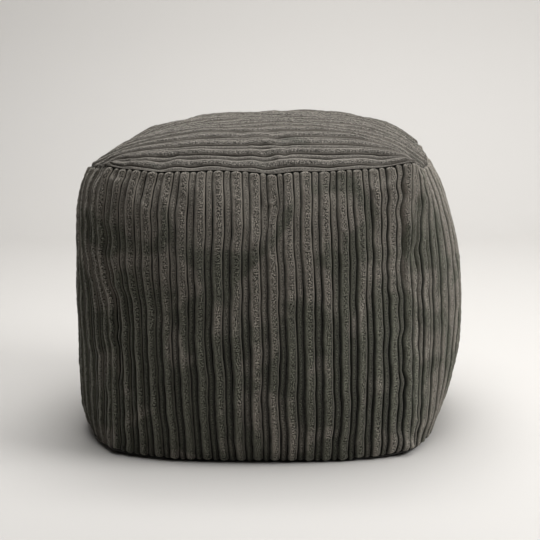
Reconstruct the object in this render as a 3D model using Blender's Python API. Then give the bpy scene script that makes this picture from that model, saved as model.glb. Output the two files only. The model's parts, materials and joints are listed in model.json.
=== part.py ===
"""Cube-shaped bean bag footstool in wide-waled cord, sewn from six square panels and filled with beads.

Each panel is one closed solid: its outer face is the crowned cloth, and it holds the share of the filling
behind it, tapering to a point at the middle of the bag. Units are metres, +Z is up, the base rests on z = 0
with its middle at the origin, and the front faces -Y.
"""

import bmesh
import bpy
import numpy as np

COLLECTION_NAME = "bean_bag_footstool"

# The frame that the twelve seams make, measured at its eight corners.
TOP_SEAM_HALF = 0.214
BASE_SEAM_HALF = 0.216
TOP_CORNER_HEIGHT = 0.4152
BASE_CORNER_LIFT = 0.0085

# How the filling bends the seams between the corners.
TOP_SEAM_BULGE = 0.030
BASE_SEAM_BULGE = 0.031
FRONT_SEAM_DIP = 0.0065
SIDE_SEAM_DIP = 0.018
BULGE_POWER = 2.7  # above 2, a bulge is flatter over its middle and rounder at the corners
FLAT_SHARE = 0.6  # share of each base seam, about its middle, that lies on the floor

# The seat's dome over its seams, and its power as above.
TOP_CROWN = 0.0447
TOP_CROWN_POWER = 3.9

SEAM_GAP = 0.0002  # between a panel's edge and the line of its seam
CENTRE_HEIGHT = 0.2
CENTRE_GAP = 0.0005  # between a panel's inner point and the middle of the bag
GRID_CELLS = 20

# name, axis that the wall faces (0 = X, 1 = Y), side of the bag, crown over the seams' bulge,
# power of its upright profile, skew of that profile (below 1, it is fullest under mid-height)
WALLS = (
    ("front_panel", 1, -1, 0.030, 3.0, 0.95),
    ("back_panel", 1, 1, 0.030, 3.0, 0.95),
    ("left_panel", 0, -1, 0.042, 4.9, 0.72),
    ("right_panel", 0, 1, 0.042, 2.4, 0.95),
)

# name, base colour, roughness
CLOTHS = {
    "top_panel": ((0.110, 0.102, 0.093), 0.92),
    "base_panel": ((0.040, 0.039, 0.034), 0.95),
    "front_panel": ((0.070, 0.066, 0.057), 0.94),
    "back_panel": ((0.070, 0.066, 0.057), 0.94),
    "left_panel": ((0.066, 0.063, 0.055), 0.94),
    "right_panel": ((0.074, 0.069, 0.061), 0.94),
}


def empty_scene():
    for obj in list(bpy.data.objects):
        bpy.data.objects.remove(obj, do_unlink=True)
    collection = bpy.data.collections.new(COLLECTION_NAME)
    bpy.context.scene.collection.children.link(collection)
    return collection


def middle(u):
    """1 at the middle of a seam, 0 at its two corners."""
    return 1 - np.abs(u) ** BULGE_POWER


def corner_rise(u):
    """0 over the part of a base seam that lies on the floor, rising to 1 at its corners."""
    return np.clip((np.abs(u) - FLAT_SHARE) / (1 - FLAT_SHARE), 0, 1) ** 2


def wall_surface(u, v, axis, side, crown, power, skew):
    """Points of a wall, u from corner to corner and v from base to top, both from -1 to 1."""
    up = (v + 1) / 2
    half = BASE_SEAM_HALF + (TOP_SEAM_HALF - BASE_SEAM_HALF) * up
    bulge = BASE_SEAM_BULGE + (TOP_SEAM_BULGE - BASE_SEAM_BULGE) * up
    fullness = 1 - np.abs(2 * up**skew - 1) ** power
    dip = SIDE_SEAM_DIP if axis == 0 else FRONT_SEAM_DIP
    points = np.empty((len(u), 3))
    points[:, axis] = side * (half + (bulge + crown * fullness) * middle(u))
    points[:, 1 - axis] = half * u
    points[:, 2] = BASE_CORNER_LIFT * corner_rise(u) * (1 - up) + (TOP_CORNER_HEIGHT - dip * middle(u)) * up
    return points


def top_surface(u, v):
    """Points of the top panel, crowned between seams that bulge outwards and dip at their middles."""
    dip = FRONT_SEAM_DIP * middle(u) * v**2 + SIDE_SEAM_DIP * middle(v) * u**2
    crown = TOP_CROWN * (1 - np.abs(u) ** TOP_CROWN_POWER) * (1 - np.abs(v) ** TOP_CROWN_POWER)
    x = u * (TOP_SEAM_HALF + TOP_SEAM_BULGE * middle(v))
    y = v * (TOP_SEAM_HALF + TOP_SEAM_BULGE * middle(u))
    return np.column_stack((x, y, TOP_CORNER_HEIGHT - dip + crown))


def base_surface(u, v):
    """Points of the base panel: flat on the floor, with its four corners lifted."""
    x = u * (BASE_SEAM_HALF + BASE_SEAM_BULGE * middle(v))
    y = v * (BASE_SEAM_HALF + BASE_SEAM_BULGE * middle(u))
    return np.column_stack((x, y, BASE_CORNER_LIFT * corner_rise(u) * corner_rise(v)))


def cloth_material(name):
    colour, roughness = CLOTHS[name]
    material = bpy.data.materials.new(f"{name}_cord")
    material.use_nodes = True
    shader = material.node_tree.nodes["Principled BSDF"]
    shader.inputs["Base Color"].default_value = (*colour, 1)
    shader.inputs["Roughness"].default_value = roughness
    shader.inputs["Metallic"].default_value = 0
    material.diffuse_color = (*colour, 1)
    return material


def add_panel(collection, name, surface, outward):
    """Shape a grid with the surface, then draw its edge in to a point beside the middle of the bag."""
    bm = bmesh.new()
    reach = 1 - SEAM_GAP / TOP_SEAM_HALF
    bmesh.ops.create_grid(bm, x_segments=GRID_CELLS, y_segments=GRID_CELLS, size=reach)
    flat = np.array([vertex.co for vertex in bm.verts])
    for vertex, point in zip(bm.verts, surface(flat[:, 0], flat[:, 1])):
        vertex.co = point
    edge = [e for e in bm.edges if e.is_boundary]
    drawn = bmesh.ops.extrude_edge_only(bm, edges=edge)["geom"]
    inner = [item for item in drawn if isinstance(item, bmesh.types.BMVert)]
    centre = np.array((0, 0, CENTRE_HEIGHT)) + CENTRE_GAP * np.array(outward)
    bmesh.ops.pointmerge(bm, verts=inner, merge_co=centre)
    bmesh.ops.recalc_face_normals(bm, faces=bm.faces)
    mesh = bpy.data.meshes.new(name)
    bm.to_mesh(mesh)
    bm.free()
    mesh.shade_smooth()
    mesh.set_sharp_from_angle(angle=np.radians(40))
    mesh.materials.append(cloth_material(name))
    collection.objects.link(bpy.data.objects.new(name, mesh))


def build():
    collection = empty_scene()
    for name, axis, side, *profile in WALLS:
        outward = [0, 0, 0]
        outward[axis] = side
        add_panel(collection, name, lambda u, v: wall_surface(u, v, axis, side, *profile), outward)
    add_panel(collection, "top_panel", top_surface, (0, 0, 1))
    add_panel(collection, "base_panel", base_surface, (0, 0, -1))


build()
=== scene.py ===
import json
import math

import bpy
import numpy as np
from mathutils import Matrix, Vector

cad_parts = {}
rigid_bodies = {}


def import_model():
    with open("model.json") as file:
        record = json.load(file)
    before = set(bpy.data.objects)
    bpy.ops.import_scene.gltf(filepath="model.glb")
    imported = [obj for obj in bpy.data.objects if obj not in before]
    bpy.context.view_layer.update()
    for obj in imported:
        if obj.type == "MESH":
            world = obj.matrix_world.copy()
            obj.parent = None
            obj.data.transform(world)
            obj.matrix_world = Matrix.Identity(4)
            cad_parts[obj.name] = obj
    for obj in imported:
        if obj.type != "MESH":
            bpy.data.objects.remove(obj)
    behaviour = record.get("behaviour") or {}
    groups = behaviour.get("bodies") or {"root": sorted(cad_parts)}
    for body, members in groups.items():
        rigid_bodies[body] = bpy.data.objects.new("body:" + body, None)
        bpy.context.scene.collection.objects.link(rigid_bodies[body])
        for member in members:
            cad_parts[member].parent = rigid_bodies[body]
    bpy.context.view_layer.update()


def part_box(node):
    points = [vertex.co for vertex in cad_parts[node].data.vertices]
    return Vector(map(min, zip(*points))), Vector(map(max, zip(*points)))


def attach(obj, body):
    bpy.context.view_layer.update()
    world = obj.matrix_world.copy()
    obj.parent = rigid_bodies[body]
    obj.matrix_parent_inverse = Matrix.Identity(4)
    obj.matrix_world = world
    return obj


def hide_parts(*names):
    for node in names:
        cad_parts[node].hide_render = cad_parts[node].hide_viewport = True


for thing in list(bpy.data.objects):
    bpy.data.objects.remove(thing)
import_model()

# Each panel runs u across its wales and v along them, and u x v points out of the bag
panelWays = {
    "front_panel": ((1, 0, 0), (0, 0, 1)),
    "right_panel": ((0, 1, 0), (0, 0, 1)),
    "back_panel": ((-1, 0, 0), (0, 0, 1)),
    "left_panel": ((0, -1, 0), (0, 0, 1)),
    "top_panel": ((0, -1, 0), (1, 0, 0)),
    "base_panel": ((0, 1, 0), (1, 0, 0)),
}

bag = {
    "wallCloth": (0.457, 0.417),    # a wall's cloth across and along its wales, seam to seam
    "seatCloth": (0.500, 0.500),    # the top's and the base's
    "topBulge": 0.030,          # how far the filling pushes the top seams out at their middles
    "baseBulge": 0.031,
    "bulgePower": 2.7,          # over 2, a bulge is flatter in its middle
    "frontDip": 0.0065,         # of the front and back top seams, at their middles
    "sideDip": 0.018,
    "cornerHeight": 0.4152,     # of the top seams' corners
    "cornerLift": 0.0052,       # of the base seams' corners
    "flatShare": 0.6,           # share of a base seam that lies on the floor
    "crownPower": 3.9,          # of the seat's dome
    "crownLean": 0.07,          # more of it to the right
    "cells": 64,                # cells across each panel in the simulated bag
}

# How each wall is filled: how far it stands beyond its solid, power and skew of its upright profile
fillings = {
    "front_panel": (0.0, 3.0, 0.95),
    "back_panel": (0.0, 3.0, 0.95),
    "left_panel": (-0.005, 4.9, 0.72),
    "right_panel": (0.005, 2.4, 0.95),
}


def outwardOf(name):
    return np.cross(*panelWays[name])


def clothSize(name):
    return bag["wallCloth"] if name in fillings else bag["seatCloth"]


def middle(u):
    return 1 - np.abs(u) ** bag["bulgePower"]


def cornerRise(u):
    return np.clip((np.abs(u) - bag["flatShare"]) / (1 - bag["flatShare"]), 0, 1) ** 2


def reach(name):
    # how far the fullest part of a panel stands from the middle of the base
    return max(np.dot(corner, outwardOf(name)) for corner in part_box(name))


def seamHalf(name, bulge):
    # from the middle of a level panel to its corners, along an axis
    low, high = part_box(name)
    return (high[0] - low[0]) / 2 - bulge


def evenly(u, ratio, power):
    # even steps of cloth on the curve ratio x (1 - |u|^power): u x (1 + k x (1 - |u|^(2 power - 2)))
    k = ratio ** 2 * power ** 2 / (4 * power - 2)
    return u * (1 + k * (1 - np.abs(u) ** (2 * power - 2)))


def inSpace(name, a, b, c):
    # a across the wales, b along them and c outwards
    ways = [np.array(way, float) for way in (*panelWays[name], outwardOf(name))]
    return a[..., None] * ways[0] + b[..., None] * ways[1] + c[..., None] * ways[2]


def wallShape(name, u, v):
    # half width + (bulge + crown x fullness(height)) x (1 - |u|^power), between the base and top seams
    extra, power, skew = fillings[name]
    baseHalf = seamHalf("base_panel", bag["baseBulge"])
    topHalf = seamHalf("top_panel", bag["topBulge"])
    crown = reach(name) - (baseHalf + bag["baseBulge"] + topHalf + bag["topBulge"]) / 2 + extra
    v = evenly(v, 2 * crown / bag["cornerHeight"] * middle(u), power)
    up = (v + 1) / 2
    half = baseHalf + (topHalf - baseHalf) * up
    bulge = bag["baseBulge"] + (bag["topBulge"] - bag["baseBulge"]) * up
    bulge = bulge + crown * (1 - np.abs(2 * up ** skew - 1) ** power)
    u = evenly(u, bulge / half, bag["bulgePower"])
    dip = bag["frontDip"] if panelWays[name][0][0] else bag["sideDip"]
    height = bag["cornerLift"] * cornerRise(u) * (1 - up) + (bag["cornerHeight"] - dip * middle(u)) * up
    return inSpace(name, half * u, height, half + bulge * middle(u))


def levelShape(name, u, v, bulge, crown):
    # a square whose sides bulge, u and v even on its sides and over its crown
    half = seamHalf(name, bulge)
    ratio = [np.abs(w) ** 2 * bulge / half + (1 - w ** 2) * crown / half for w in (v, u)]
    u, v = evenly(u, ratio[0], bag["bulgePower"]), evenly(v, ratio[1], bag["bulgePower"])
    return u, v, u * (half + bulge * middle(v)), v * (half + bulge * middle(u))


def topShape(name, u, v):
    # corner height - dips of the seams + crown x (1 - |u|^power) x (1 - |v|^power)
    crown = reach(name) - bag["cornerHeight"]
    u, v, a, b = levelShape(name, u, v, bag["topBulge"], crown)
    dip = bag["frontDip"] * middle(v) * u ** 2 + bag["sideDip"] * middle(u) * v ** 2
    dome = crown * (1 - np.abs(u) ** bag["crownPower"]) * (1 - np.abs(v) ** bag["crownPower"])
    return inSpace(name, a, b, bag["cornerHeight"] - dip + dome * (1 + bag["crownLean"] * v))


def baseShape(name, u, v):
    # flat on the floor, with its corners lifted
    u, v, a, b = levelShape(name, u, v, bag["baseBulge"], 0)
    return inSpace(name, a, b, -bag["cornerLift"] * cornerRise(u) * cornerRise(v))


shapes = dict.fromkeys(panelWays, wallShape)
shapes.update(top_panel=topShape, base_panel=baseShape)


def unit(vectors):
    return vectors / np.linalg.norm(vectors, axis=-1, keepdims=True)


def curveWeights(nodes, at):
    # Catmull-Rom weights: each row blends the four nodes round one place, and the ends run on straight
    cell = np.clip(at.astype(int), 0, nodes - 2)
    t = (at - cell)[:, None]
    four = np.hstack((-t ** 3 + 2 * t ** 2 - t, 3 * t ** 3 - 5 * t ** 2 + 2,
                      -3 * t ** 3 + 4 * t ** 2 + t, t ** 3 - t ** 2)) / 2
    weights = np.zeros((len(at), nodes + 2))
    np.put_along_axis(weights, cell[:, None] + np.arange(4), four, 1)
    weights[:, 1:3] += weights[:, :1] * (2, -1)
    weights[:, -3:-1] += weights[:, -1:] * (-1, 2)
    return weights[:, 1:-1]


def resample(grid, atRows, atColumns):
    # the grid's values at rows and columns given from 0 to 1
    rows = curveWeights(grid.shape[0], atRows * (grid.shape[0] - 1))
    columns = curveWeights(grid.shape[1], atColumns * (grid.shape[1] - 1))
    return np.einsum("ri,ijk,cj->rck", rows, grid.reshape(*grid.shape[:2], -1), columns, optimize=True)


def softNoise(atRows, atColumns, rows, columns, seed):
    # random values on a coarse grid, drawn smoothly over a fine one, from about -1 to 1
    random = np.random.default_rng(seed).uniform(-1, 1, (rows + 1, columns + 1, 1))
    return resample(random, atRows, atColumns)[..., 0]


def lumps(points, length, size, seed):
    # the sum of 14 sine waves in random directions, of about the given wavelength and height
    random = np.random.default_rng(seed)
    waves = unit(random.normal(size=(14, 3))) * 2 * np.pi / (length * random.uniform(0.75, 1.3, (14, 1)))
    moves = random.normal(size=(14, 3)) * size * math.sqrt(2 / 14)
    return np.sin(points @ waves.T + random.uniform(0, 2 * np.pi, 14)) @ moves


filling = {
    "frames": 22,
    "pressure": 5.0,
    "furthest": 0.005,          # how far the cloth may move from the plain shape
    "seatShare": 0.4,           # the seat keeps this much of its moves
    "slowRadius": 0.045,        # slower moves than this are taken back, so that the bag keeps its form
    "slowShare": 0.9,
    "shrink": 0.985,            # the bag starts this much smaller, and swells
    "sewnSize": (0.458, 0.458, 0.420),      # the box that the flat panels would make
    "slowLumps": (0.110, 0.0013),       # wavelength and height of the beads' unevenness
    "quickLumps": (0.045, 0.0004),
}

# Sideways S in each upright seam: corner it stands at, greatest sway of its upper and its lower half
seamSways = (
    ((-1, -1), -0.0085, 0.0060),
    ((1, -1), -0.0015, 0.0010),
    ((1, 1), 0.0040, -0.0030),
    ((-1, 1), -0.0030, 0.0040),
)

# Pulls on the bag: place (1 is a corner), the way that it is moved, over what distance
bagPulls = (
    ((-1, -1, 0), (0.0038, 0.0032, 0), 0.045),
    ((1, -1, 0), (-0.0030, 0.0030, 0), 0.045),
    ((1, 1, 0), (-0.0050, -0.0050, 0), 0.045),
    ((-1, 1, 0), (0.0060, -0.0060, 0), 0.045),
    ((-1, -1, 1), (0.0080, 0.0015, -0.0010), 0.038),
    ((-1.08, -0.62, 0.91), (-0.0080, 0, 0.0020), 0.060),
    ((-1, 1, 1), (0.0090, 0, 0), 0.120),
    ((1, 1, 1), (-0.0120, 0, 0.0110), 0.075),
)


def unevenBag(points):
    # lumps, and seams that sway as half a sine wave up and half a wave down; what rests stays in place
    height = points[:, 2] / bag["cornerHeight"]
    move = lumps(points, *filling["slowLumps"], 5) + lumps(points, *filling["quickLumps"], 6)
    half = seamHalf("base_panel", bag["baseBulge"])
    for corner, upper, lower in seamSways:
        near = np.exp(-np.sum((points[:, :2] / half - corner) ** 2, axis=1) / 0.16)
        wave = np.where(height > 0.55, upper * np.sin((height - 0.55) / 0.45 * np.pi),
                        lower * np.sin(height / 0.55 * np.pi))
        move[:, 0] += wave * near * (height < 1)
    points = points + move * np.clip(points[:, 2:] / 0.04, 0, 1)
    for place, pull, distance in bagPulls:
        away = np.linalg.norm(points - np.array(place) * (half, half, bag["cornerHeight"]), axis=1) / distance
        points += np.outer(np.exp(-away ** 2), pull)
    return points


def slowPart(points, moves):
    # each move averaged over its surroundings, weighted by exp(-(distance / radius) squared)
    some = points[::29]
    distance = (points ** 2).sum(1)[:, None] + (some ** 2).sum(1) - 2 * points @ some.T
    weights = np.exp(-distance / filling["slowRadius"] ** 2)
    return weights @ moves[::29] / weights.sum(1, keepdims=True)


def stuffedBag():
    # six square grids sewn into a bag, whose cloth would lie flat on a box, blown up with the base held
    count = bag["cells"] + 1
    line = np.linspace(-1, 1, count)
    v, u = np.meshgrid(line, line, indexing="ij")
    start, cube, quads = [], [], []
    corner = np.arange(count * count).reshape(count, count)
    square = np.stack((corner[:-1, :-1], corner[:-1, 1:], corner[1:, 1:], corner[1:, :-1]), -1).reshape(-1, 4)
    for number, name in enumerate(panelWays):
        start.append(shapes[name](name, u, v).reshape(-1, 3))
        cube.append(inSpace(name, u, v, np.ones_like(u)).reshape(-1, 3))
        quads.append(square + number * count * count)
    start, cube, quads = np.concatenate(start), np.concatenate(cube), np.concatenate(quads)
    spots = np.rint(cube * bag["cells"]).astype(int)
    _, first, where = np.unique(spots, axis=0, return_index=True, return_inverse=True)
    where = where.reshape(-1)
    held = start[first][:, 2] < 1e-5
    plain = unevenBag(start[first])
    centre = np.array((0, 0, bag["cornerHeight"] / 2))
    small = centre + (plain - centre) * filling["shrink"]
    small[held] = plain[held]
    mesh = bpy.data.meshes.new("stuffing")
    mesh.from_pydata(small, [], where[quads])
    obj = bpy.data.objects.new("stuffing", mesh)
    bpy.context.scene.collection.objects.link(obj)
    obj.shape_key_add(name="sewn")
    flat = (cube[first] + (0, 0, 1)) * filling["sewnSize"] / 2
    obj.shape_key_add(name="cut").data.foreach_set("co", flat.astype(np.float32).ravel())
    obj.vertex_groups.new(name="resting").add(np.flatnonzero(held).tolist(), 1, "REPLACE")
    cloth = obj.modifiers.new("cloth", "CLOTH").settings
    cloth.quality = 6
    cloth.mass = 0.3
    cloth.tension_stiffness = cloth.compression_stiffness = 20
    cloth.shear_stiffness = 6
    cloth.bending_stiffness = 1.5
    cloth.use_pressure = True
    cloth.uniform_pressure_force = filling["pressure"]
    cloth.effector_weights.gravity = 0
    cloth.rest_shape_key = obj.data.shape_keys.key_blocks["cut"]
    cloth.vertex_group_mass = "resting"
    for number in range(1, filling["frames"] + 1):
        bpy.context.scene.frame_set(number)
    settled = np.empty(len(plain) * 3, np.float32)
    obj.evaluated_get(bpy.context.evaluated_depsgraph_get()).data.vertices.foreach_get("co", settled)
    bpy.context.scene.frame_set(1)
    bpy.data.objects.remove(obj)
    bpy.data.meshes.remove(mesh)
    moved = settled.reshape(-1, 3) - plain
    moved -= filling["slowShare"] * slowPart(plain, moved)
    moved *= 1 - (1 - filling["seatShare"]) * np.clip((plain[:, 2:] - bag["cornerHeight"]) / 0.02, 0, 1)
    moved[held] = 0
    distance = np.linalg.norm(moved, axis=1, keepdims=True)
    print("cloth moved: mean, most", distance.mean(), distance.max())
    limit = filling["furthest"]
    plain = plain + moved * limit * np.tanh(distance / limit) / np.maximum(distance, 1e-9)
    return plain[where].reshape(len(panelWays), count, count, 3)


cord = {
    "wideWidth": 0.0144,
    "narrowWidth": 0.0082,
    "gapWidth": 0.0010,
    "wideHeight": 0.0044,
    "narrowHeight": 0.0021,
    "wallRepeats": 18,
    "seatRepeats": 20,
    "roundness": 2.1,           # 2 is a half round wale, more is a flatter crest
    "wideSteps": 10,
    "narrowSteps": 8,
    "wallRows": 236,
    "seatRows": 222,
    "seamDepth": 0.0030,
    "seamWidth": 0.0036,
    "drift": 0.0005,            # how far a wale wanders sideways over its length
    "waver": 0.00013,
    "gatherWidth": 0.034,       # beside the seams that run with the wales
    "gatherSway": 0.0036,
    "seatSway": 0.0016,
    "gatherPuff": 0.0022,
}

# Folds beside the seams: cloth across and along at one end, the same at the other, depth, width
folds = {
    "front_panel": (
        (0.4435, 0.395, 0.4445, 0.230, 0.0050, 0.0028),
        (0.4445, 0.230, 0.4425, 0.060, 0.0026, 0.0028),
        (0.0145, 0.340, 0.0170, 0.110, 0.0034, 0.0030),
        (0.0390, 0.240, 0.0400, 0.120, 0.0018, 0.0030),
    ),
    "left_panel": (
        (0.4420, 0.330, 0.4400, 0.090, 0.0034, 0.0030),
        (0.4180, 0.300, 0.4170, 0.160, 0.0020, 0.0030),
    ),
    "right_panel": (
        (0.0150, 0.380, 0.0140, 0.150, 0.0034, 0.0030),
        (0.0400, 0.360, 0.0390, 0.230, 0.0020, 0.0030),
    ),
}


def cordColumns(name):
    # columns across the cloth: each wale's stand at the sines of even angles, closest on its steep sides
    width = clothSize(name)[0]
    repeats = cord["wallRepeats"] if name in fillings else cord["seatRepeats"]
    repeat = cord["wideWidth"] + cord["narrowWidth"] + 2 * cord["gapWidth"]
    table = [[0, -1, 0, cord["gapWidth"], 0, 0], [width, 1, width, cord["gapWidth"], 0, 0]]
    for wide, kind in ((1, "wide"), (0, "narrow")):
        first = wide == (name in fillings)
        centres = repeat * (np.arange(repeats + first) - repeats / 2 + (0 if first else 0.5)) + width / 2
        sine = np.sin(np.linspace(-np.pi / 2, np.pi / 2, cord[kind + "Steps"] + 1))
        half = cord[kind + "Width"] / 2
        at = centres[:, None] + half * sine
        parts = (at, sine, centres[:, None], half, cord[kind + "Height"], wide)
        table = np.concatenate((table, np.stack(np.broadcast_arrays(*parts), -1).reshape(-1, 6)))
    return table[np.argsort(table[:, 0])].T


def cordRows(name):
    # rows along the wales, closest where the wales round off at the seams
    side, end = clothSize(name)[1], 0.009
    count = cord["wallRows"] if name in fillings else cord["seatRows"]
    return np.concatenate((np.linspace(0, end, 9)[:-1], np.linspace(end, side - end, count),
                           np.linspace(side - end, side, 9)[1:]))


def foldDepth(name, at, along):
    # soft troughs: depth x exp(-(distance to the fold's line / width) squared)
    depth = np.zeros((len(along), len(at)))
    for a, b, c, d, deep, wide in folds.get(name, ()):
        length = np.hypot(c - a, d - b)
        onLine = ((at[None] - a) * (c - a) + (along[:, None] - b) * (d - b)) / length ** 2
        onLine = np.clip(onLine, 0, 1)
        away = np.hypot(at[None] - a - onLine * (c - a), along[:, None] - b - onLine * (d - b))
        depth += deep * np.sqrt(np.sin(np.pi * (0.04 + 0.92 * onLine))) * np.exp(-(away / wide) ** 2)
    return depth


def cordPanel(name, grid, seed):
    # the bag's surface, moved out along its normal by the wales and in towards the bag's middle at the seams
    at, sine, centre, half, height, wide = cordColumns(name)
    along = cordRows(name)
    width, length = clothSize(name)
    atRows, atColumns, atWales = along / length, at / width, centre / width
    points = resample(grid, atRows, atColumns)
    across = unit(np.gradient(points, at, axis=1))
    upward = unit(np.gradient(points, along, axis=0))
    normal = unit(np.cross(across, upward))
    toEnd = np.minimum(along, length - along)[:, None]
    toSide = np.maximum(np.minimum(at, width - at), 0)[None]      # a wale may reach just past the seam
    toSeam = np.minimum(toEnd, toSide)
    free = 1 - np.exp(-toSeam / 0.006)

    # capsule wales: a wale's end is as round as it is wide, and no two end quite together
    tip = 0.0006 + 0.0006 * softNoise(atRows[:1], atWales, 1, 44, seed + 4)
    end = np.clip(1 - (toEnd - tip) / (0.8 * half), 0, None)
    ring = np.sqrt(sine ** 2 + end ** 2)
    profile = (1 - np.minimum(ring, 1) ** cord["roundness"]) ** 0.55
    tufts = softNoise(atRows, atColumns, 120, 170, seed)
    swell = softNoise(atRows, atWales, 22, 40, seed + 5)
    relief = height * profile * (1 + (0.04 + 0.08 * wide) * tufts + 0.05 * swell)

    # gathers beside the seams that run with the wales, and small wanderings everywhere
    gather = np.exp(-(toSide / cord["gatherWidth"]) ** 1.5) * free
    sway = cord["gatherSway" if name in fillings else "seatSway"] * gather * softNoise(atRows, atColumns, 27, 8, seed + 1)
    drift = cord["drift"] * softNoise(atRows, atWales, 9, 11, seed + 6)
    waver = cord["waver"] * softNoise(atRows, atWales, 44, 60, seed + 2)
    widen = half * sine * 0.06 * softNoise(atRows, atWales, 20, 40, seed + 7)
    puff = cord["gatherPuff"] * gather * softNoise(atRows, atColumns, 30, 10, seed + 3)
    groove = cord["seamDepth"] * np.exp(-(toSeam / cord["seamWidth"]) ** 2)
    inward = unit(np.array((0, 0, bag["cornerHeight"] / 2)) - points)
    out = relief - cord["wideHeight"] * (1 - np.exp(-toSeam / 0.004)) + puff - foldDepth(name, at, along)
    sideways = sway + (drift + waver + widen) * free
    moved = points + normal * out[..., None] + across * sideways[..., None] + inward * groove[..., None]
    moved[..., 2] = np.maximum(moved[..., 2], 0.0004)
    fields = {"relief": profile, "wideWale": wide, "acrossWale": sine, "seamDistance": toSeam}
    fields = {field: np.broadcast_to(values, profile.shape) for field, values in fields.items()}
    return moved, fields, np.meshgrid(at / width, atRows)


def basePanel(name, grid):
    # a plain cloth, even on the floor and turned up at its seams
    even = np.linspace(0, 1, 97)
    points = resample(grid, even, even)
    points[..., 2] = np.maximum(points[..., 2], 0)
    steps = np.minimum(even, 1 - even) * clothSize(name)[0]
    toSeam = np.minimum(steps[:, None], steps[None])
    inward = unit(np.array((0, 0, bag["cornerHeight"] / 2)) - points)
    points = points + inward * (cord["seamDepth"] * np.exp(-(toSeam / cord["seamWidth"]) ** 2))[..., None]
    ones = np.ones_like(toSeam)
    fields = {"relief": ones, "wideWale": 0 * ones, "acrossWale": 0 * ones, "seamDistance": toSeam}
    return points, fields, np.meshgrid(even, even)


def closedPiece(name, points, fields, uv):
    # the grid as one mesh, its edge closed to a point just inside the bag's middle
    rows, columns = points.shape[:2]
    corner = np.arange(rows * columns).reshape(rows, columns)
    quads = np.stack((corner[:-1, :-1], corner[:-1, 1:], corner[1:, 1:], corner[1:, :-1]), -1).reshape(-1, 4)
    ring = np.concatenate((corner[0, :-1], corner[:-1, -1], corner[-1, :0:-1], corner[:0:-1, 0]))
    tip = np.full(len(ring), rows * columns)
    sides = np.stack((np.roll(ring, -1), ring, tip), -1)
    centre = np.array((0, 0, bag["cornerHeight"] / 2)) + 0.0005 * outwardOf(name)
    mesh = bpy.data.meshes.new(name + "_cloth")
    allPoints = np.concatenate((points.reshape(-1, 3), centre[None]))
    mesh.from_pydata(allPoints, [], quads.tolist() + sides.tolist())
    flat = np.arange(len(mesh.polygons)) >= len(quads)
    mesh.attributes.new("sharp_face", "BOOLEAN", "FACE").data.foreach_set("value", flat)
    for field, values in fields.items():
        values = np.append(values.ravel(), 0).astype(np.float32)
        mesh.attributes.new(field, "FLOAT", "POINT").data.foreach_set("value", values)
    spots = np.concatenate((np.stack(uv, -1).reshape(-1, 2), [[0.5, 0.5]]))
    loops = np.empty(len(mesh.loops), int)
    mesh.loops.foreach_get("vertex_index", loops)
    mesh.uv_layers.new(name="cloth").data.foreach_set("uv", spots[loops].astype(np.float32).ravel())
    mesh.update()
    obj = bpy.data.objects.new(name + "_cloth", mesh)
    bpy.context.scene.collection.objects.link(obj)
    return obj


def addNode(tree, kind, links=(), **settings):
    # adds one node, sets its fields and joins its inputs: {input name or number: value or socket}
    node = tree.nodes.new("ShaderNode" + kind)
    for field, value in settings.items():
        setattr(node, field, value)
    for socket, value in dict(links).items():
        if isinstance(value, bpy.types.NodeSocket):
            tree.links.new(value, node.inputs[socket])
        else:
            node.inputs[socket].default_value = value
    return node


def newGroup(name, inputs, outputs):
    group = bpy.data.node_groups.new(name, "ShaderNodeTree")
    for label, kind, value in inputs:
        socket = group.interface.new_socket(label, in_out="INPUT", socket_type="NodeSocket" + kind)
        if value is not None:
            socket.default_value = value
    for label, kind in outputs:
        group.interface.new_socket(label, in_out="OUTPUT", socket_type="NodeSocket" + kind)
    return group, group.nodes.new("NodeGroupInput").outputs, group.nodes.new("NodeGroupOutput").inputs


def useGroup(tree, group, vector, **values):
    return addNode(tree, "Group", {"Vector": vector, **values}, node_tree=group).outputs


def maths(tree, operation, a, b=0.0, c=0.0):
    return addNode(tree, "Math", {0: a, 1: b, 2: c}, operation=operation).outputs[0]


def stretched(tree, vector, scale):
    return addNode(tree, "VectorMath", {0: vector, 1: scale}, operation="MULTIPLY").outputs[0]


def ramp(tree, value, low, high, toLow=0.0, toHigh=1.0, kind="SMOOTHSTEP"):
    links = {"Value": value, "From Min": low, "From Max": high, "To Min": toLow, "To Max": toHigh}
    return addNode(tree, "MapRange", links, interpolation_type=kind).outputs[0]


def tint(tree, share, a, b):
    return addNode(tree, "Mix", {0: share, 6: a, 7: b}, data_type="RGBA").outputs[2]


def flecksGroup():
    # partings in the pile: noise drawn out a little along the wale, cut to a mask
    group, given, made = newGroup("pileFlecks", (("Vector", "Vector", None), ("Size", "Float", 1.0),
                                                 ("Amount", "Float", 0.5)),
                                  (("Mask", "Float"), ("Tips", "Float"), ("Height", "Float")))
    spot = stretched(group, given["Vector"], (1, 0.7, 1))
    scale = maths(group, "DIVIDE", 1.0, given["Size"])
    clumps = addNode(group, "TexNoise", {"Vector": spot, "Scale": scale, "Detail": 2.0, "Roughness": 0.6,
                                         "Distortion": 0.15}).outputs[0]
    edge = maths(group, "SUBTRACT", 0.66, maths(group, "MULTIPLY", given["Amount"], 0.2))
    mask = ramp(group, clumps, maths(group, "SUBTRACT", edge, 0.04), maths(group, "ADD", edge, 0.04))
    group.links.new(mask, made["Mask"])
    group.links.new(ramp(group, clumps, 0.44, 0.37), made["Tips"])
    group.links.new(clumps, made["Height"])
    return group


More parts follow.
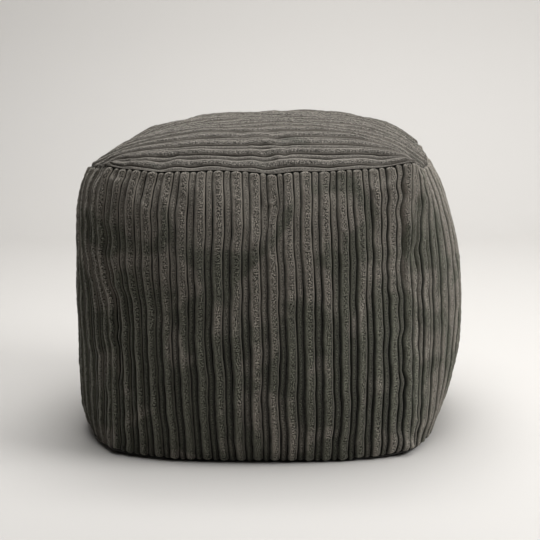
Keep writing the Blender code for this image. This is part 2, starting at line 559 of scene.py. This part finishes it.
def brushedGroup():
    # patches where the pile was stroked another way, their edges fairly sharp; Lean above 0 makes them spread
    group, given, made = newGroup("brushedPatches", (("Vector", "Vector", None), ("Size", "Float", 60.0),
                                                     ("Softness", "Float", 0.1), ("Lean", "Float", 0.0)),
                                  (("Mask", "Float"),))
    scale = maths(group, "DIVIDE", 1.0, given["Size"])
    wide = addNode(group, "TexNoise", {"Vector": given["Vector"], "Scale": scale, "Detail": 3.0, "Roughness": 0.45,
                                       "Distortion": 0.7}).outputs[0]
    low, high = (maths(group, way, 0.5, given["Softness"]) for way in ("SUBTRACT", "ADD"))
    group.links.new(ramp(group, maths(group, "ADD", wide, given["Lean"]), low, high), made["Mask"])
    return group


pile = {
    # The dark cloth between the wales together with the painted shade that lies there
    "gapAndShade": (0.0036, 0.0037, 0.0027, 1),
    "flanks": ((0.009, 0.0100, 0.0082, 1), (0.047, 0.0475, 0.0395, 1)),     # low in shade, and where lit
    "crests": ((0.266, 0.258, 0.216, 1), (0.153, 0.146, 0.123, 1)),
    "tip": (0.270, 0.245, 0.208, 1),
    "tipShare": 0.24,
    "fleck": (0.010, 0.0100, 0.0074, 1),
    # A painted highlight along one edge of each wale
    "paintedRimHighlight": (0.190, 0.176, 0.146, 1),
    "paintedRimShare": 0.45,
    # Painted shade and light: narrow wales darker and crests narrower low down in shade, lighter and wider where
    # lit
    "narrowShade": (0.45, 0.93),        # of the narrow wales against the wide
    "crestWidth": (0.05, 0.45),
    "fleckSize": 1.35,           # millimetres of cloth, as are the patches
    "fleckShare": 1.0,
    "patchSize": 85.0,
    "napDark": (0.75, 0.78, 0.73),
    "napLight": (1.38, 1.31, 1.33),
    "streakFrom": 0.80,
    "streakTo": 1.20,
    "bump": 0.0018,
}

# The seat's pile lies flatter, with softer flecks and lighter gaps: less painted shade between its wales than on
# the walls
seatPile = {
    "gapAndShade": (0.012, 0.0117, 0.0095, 1),
    "fleck": (0.022, 0.0215, 0.0170, 1),
    "narrowShade": (0.92, 0.92),
    "tipShare": 0.20,
    "napDark": (0.82, 0.82, 0.83),
    "napLight": (1.06, 1.01, 1.05),
    "bump": 0.0012,
}


def cordMaterial(name, pile, flecks, brushed):
    material = bpy.data.materials.new(name)
    material.use_nodes = True
    tree = material.node_tree
    shader = tree.nodes["Principled BSDF"]
    uv = addNode(tree, "UVMap", uv_map="cloth").outputs[0]
    cloth = stretched(tree, uv, tuple(1000 * side for side in (*bag["wallCloth"], 0)))
    here = addNode(tree, "TexCoord").outputs["Object"]
    body = stretched(tree, here, (1000, 1000, 1000))
    relief, wide, acrossWale = (addNode(tree, "Attribute", attribute_name=field).outputs["Fac"]
                                for field in ("relief", "wideWale", "acrossWale"))

    # pile flecks lie thickest a little to one side of each wide wale's crest
    fleck = useGroup(tree, flecks, cloth, Size=pile["fleckSize"], Amount=0.90)
    oneSide = ramp(tree, maths(tree, "ABSOLUTE", maths(tree, "SUBTRACT", acrossWale, 0.3)), 0.25, 1.0, 1.0, 0.15)
    onWide = maths(tree, "MULTIPLY", fleck["Mask"], ramp(tree, wide, 0.0, 1.0, 0.8, 1.0, "LINEAR"))
    onWide = maths(tree, "MULTIPLY", maths(tree, "MULTIPLY", onWide, oneSide), pile["fleckShare"])

    # long strokes along the wales, and brushed patches across them
    streak = addNode(tree, "TexNoise", {"Vector": stretched(tree, cloth, (0.24, 0.020, 1)), "Scale": 1.0,
                                        "Detail": 3.0, "Roughness": 0.6}).outputs[0]
    stroke = ramp(tree, streak, 0.35, 0.65, pile["streakFrom"], pile["streakTo"], "LINEAR")
    height = addNode(tree, "SeparateXYZ", {0: body}).outputs[2]
    # The patches spread high up and thin out low down: painted light on the upper cloth and painted shade low
    # down, over the real brushed nap
    paintedLightLean = maths(tree, "ADD", ramp(tree, height, 40.0, 300.0, -0.07, 0.0, "LINEAR"),
                 ramp(tree, height, 300.0, 390.0, 0.0, 0.16, "LINEAR"))
    patch = useGroup(tree, brushed, body, Size=pile["patchSize"], Softness=0.06, Lean=paintedLightLean)
    patched = addNode(tree, "Mix", {0: patch["Mask"], 4: pile["napDark"], 5: pile["napLight"]}, data_type="VECTOR")
    # lit is painted light and shade: 1 high up and on the right wall, 0 low down and on the left wall. It sets the
    # narrow wales' painted shade, the crests' width, the flank and crest colours and how far up each wale the
    # gap's shade reaches
    right = addNode(tree, "SeparateXYZ", {0: body}).outputs[0]
    lit = maths(tree, "MAXIMUM", ramp(tree, height, 110.0, 370.0), ramp(tree, right, 205.0, 250.0))
    lit = maths(tree, "MULTIPLY", lit, ramp(tree, right, -245.0, -195.0))
    narrow = ramp(tree, lit, 0.0, 1.0, *pile["narrowShade"], "LINEAR")
    kind = ramp(tree, wide, 0.0, 1.0, narrow, 1.0, "LINEAR")
    factor = stretched(tree, patched.outputs[1], maths(tree, "MULTIPLY", stroke, kind))

    upright = maths(tree, "ABSOLUTE", acrossWale)
    crestWidth = ramp(tree, lit, 0.0, 1.0, *pile["crestWidth"], "LINEAR")
    flank, crest = tint(tree, lit, *pile["flanks"]), tint(tree, lit, *pile["crests"])
    flank = tint(tree, ramp(tree, upright, 1.0, crestWidth), flank, crest)
    tips = maths(tree, "MULTIPLY", maths(tree, "MULTIPLY", fleck["Tips"], wide), ramp(tree, upright, 0.9, 0.5))
    flank = tint(tree, maths(tree, "MULTIPLY", tips, pile["tipShare"]), flank, pile["tip"])
    flecked = tint(tree, onWide, flank, pile["fleck"])
    # A pale line along one side of each wale's edge: a painted highlight
    paintedRimHighlight = maths(tree, "MULTIPLY", ramp(tree, acrossWale, 0.66, 0.90), ramp(tree, acrossWale, 1.0, 0.96))
    flecked = tint(tree, maths(tree, "MULTIPLY", paintedRimHighlight, pile["paintedRimShare"]), flecked, pile["paintedRimHighlight"])
    # Each wale's sides fall to the gap's colour: painted shade between the wales, reaching further up the wale
    # where lit is low
    colour = tint(tree, ramp(tree, relief, 0.02, ramp(tree, lit, 0.0, 1.0, 0.42, 0.25, "LINEAR")), pile["gapAndShade"], stretched(tree, flecked, factor))
    tree.links.new(colour, shader.inputs["Base Color"])
    tree.links.new(ramp(tree, relief, 0.0, 1.0, 1.0, 0.86, "LINEAR"), shader.inputs["Roughness"])

    grain = addNode(tree, "TexNoise", {"Vector": cloth, "Scale": 1.3, "Detail": 3.0, "Roughness": 0.7}).outputs[0]
    fuzz = maths(tree, "ADD", maths(tree, "MULTIPLY", fleck["Height"], -0.7), maths(tree, "MULTIPLY", grain, 0.3))
    fuzz = maths(tree, "MULTIPLY", fuzz, ramp(tree, wide, 0.0, 1.0, 0.5, 1.0, "LINEAR"))
    bump = addNode(tree, "Bump", {"Strength": 0.9, "Distance": pile["bump"], "Height": fuzz})
    tree.links.new(bump.outputs[0], shader.inputs["Normal"])
    shader.inputs["Metallic"].default_value = 0
    shader.inputs["Specular IOR Level"].default_value = 0.2
    shader.inputs["Sheen Weight"].default_value = 0.34
    shader.inputs["Sheen Roughness"].default_value = 0.4
    shader.inputs["Sheen Tint"].default_value = (0.80, 0.75, 0.66, 1)
    return material


def baseMaterial():
    material = bpy.data.materials.new("darkBaseCloth")
    material.use_nodes = True
    tree = material.node_tree
    shader = tree.nodes["Principled BSDF"]
    uv = addNode(tree, "UVMap", uv_map="cloth").outputs[0]
    threads = addNode(tree, "TexChecker", {"Vector": uv, "Scale": 500.0}).outputs[1]
    worn = addNode(tree, "TexNoise", {"Vector": uv, "Scale": 9.0, "Detail": 5.0}).outputs[0]
    plain = tint(tree, threads, (0.016, 0.0155, 0.014, 1), (0.026, 0.025, 0.022, 1))
    colour = tint(tree, maths(tree, "MULTIPLY", worn, 0.4), plain, (0.045, 0.043, 0.038, 1))
    tree.links.new(colour, shader.inputs["Base Color"])
    bump = addNode(tree, "Bump", {"Strength": 0.5, "Distance": 0.0004, "Height": threads})
    tree.links.new(bump.outputs[0], shader.inputs["Normal"])
    shader.inputs["Roughness"].default_value = 0.9
    return material


panels = dict(zip(panelWays, stuffedBag()))
print("bag shaped")
groups = flecksGroup(), brushedGroup()
wallCord = cordMaterial("wallCord", pile, *groups)
topCord = cordMaterial("topCord", {**pile, **seatPile}, *groups)
baseCloth = baseMaterial()
for number, (name, grid) in enumerate(panels.items()):
    isBase = name == "base_panel"
    piece = closedPiece(name, *(basePanel(name, grid) if isBase else cordPanel(name, grid, 10 * number + 1)))
    piece.data.materials.append(baseCloth if isBase else topCord if name == "top_panel" else wallCord)
    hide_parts(name)
    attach(piece, "root")
    print(name, len(piece.data.polygons), "faces")


studio = {
    "floorColour": (0.50, 0.485, 0.465, 1),
    "worldColour": (1.0, 0.97, 0.93, 1),
    "worldStrength": 0.05,
    "viewFrom": (0.148, -2.2, 0.6456),
    "turn": 3.74,               # degrees to the left of straight ahead
    "tilt": 10.80,              # degrees down
    "roll": -0.825,
    "lens": 98.4,
}

# name, where it stands, what it lights, size, power
softLights = (
    ("overhead", (0.1, -0.1, 2.4), (0, 0.0, 0.35), 2.0, 64),
    ("rightKey", (2.3, -0.75, 1.9), (0, 0, 0.25), 1.5, 72),
    ("backdrop", (0.0, 0.9, 2.6), (0.0, 2.2, 1.2), 1.6, 40),
)


def paleSweep():
    # floor that curves up into a wall far behind: straight, quarter round, straight
    profile = [(-6, 0), (1.6, 0)]
    profile += [(1.6 + 0.6 * math.sin(a), 0.6 - 0.6 * math.cos(a)) for a in np.linspace(0, np.pi / 2, 17)[1:]]
    profile += [(2.2, 4)]
    y, z = np.array(profile).T
    x = np.array((-5, 5))[:, None]
    points = np.stack((x + 0 * y, y + 0 * x, z + 0 * x), -1).reshape(-1, 3)
    step = np.arange(len(y) - 1)
    faces = np.stack((step, step + len(y), step + len(y) + 1, step + 1), -1)
    mesh = bpy.data.meshes.new("paleFloor")
    mesh.from_pydata(points, [], faces)
    mesh.shade_smooth()
    obj = bpy.data.objects.new("paleFloor", mesh)
    bpy.context.scene.collection.objects.link(obj)
    material = bpy.data.materials.new("paleFloor")
    material.use_nodes = True
    shader = material.node_tree.nodes["Principled BSDF"]
    shader.inputs["Base Color"].default_value = studio["floorColour"]
    shader.inputs["Roughness"].default_value = 0.75
    mesh.materials.append(material)


def softLight(name, stand, aim, size, power):
    lamp = bpy.data.lights.new(name, "AREA")
    lamp.shape = "DISK"
    lamp.size = size
    lamp.energy = power
    obj = bpy.data.objects.new(name, lamp)
    bpy.context.scene.collection.objects.link(obj)
    obj.location = stand
    away = Vector(stand) - Vector(aim)
    obj.rotation_euler = away.to_track_quat("Z", "Y").to_euler()


def studioCamera():
    data = bpy.data.cameras.new("camera")
    data.lens = studio["lens"]
    data.sensor_width = 36
    obj = bpy.data.objects.new("camera", data)
    bpy.context.scene.collection.objects.link(obj)
    turn, tilt, roll = (math.radians(studio[key]) for key in ("turn", "tilt", "roll"))
    obj.rotation_euler = (Matrix.Rotation(turn, 3, "Z") @ Matrix.Rotation(math.pi / 2 - tilt, 3, "X")
                          @ Matrix.Rotation(roll, 3, "Z")).to_euler()
    obj.location = studio["viewFrom"]
    bpy.context.scene.camera = obj


paleSweep()
for row in softLights:
    softLight(*row)
world = bpy.data.worlds.new("studio")
world.use_nodes = True
world.node_tree.nodes["Background"].inputs[0].default_value = studio["worldColour"]
world.node_tree.nodes["Background"].inputs[1].default_value = studio["worldStrength"]
bpy.context.scene.world = world
bpy.context.scene.view_settings.view_transform = "Standard"
studioCamera()
print("studio ready")
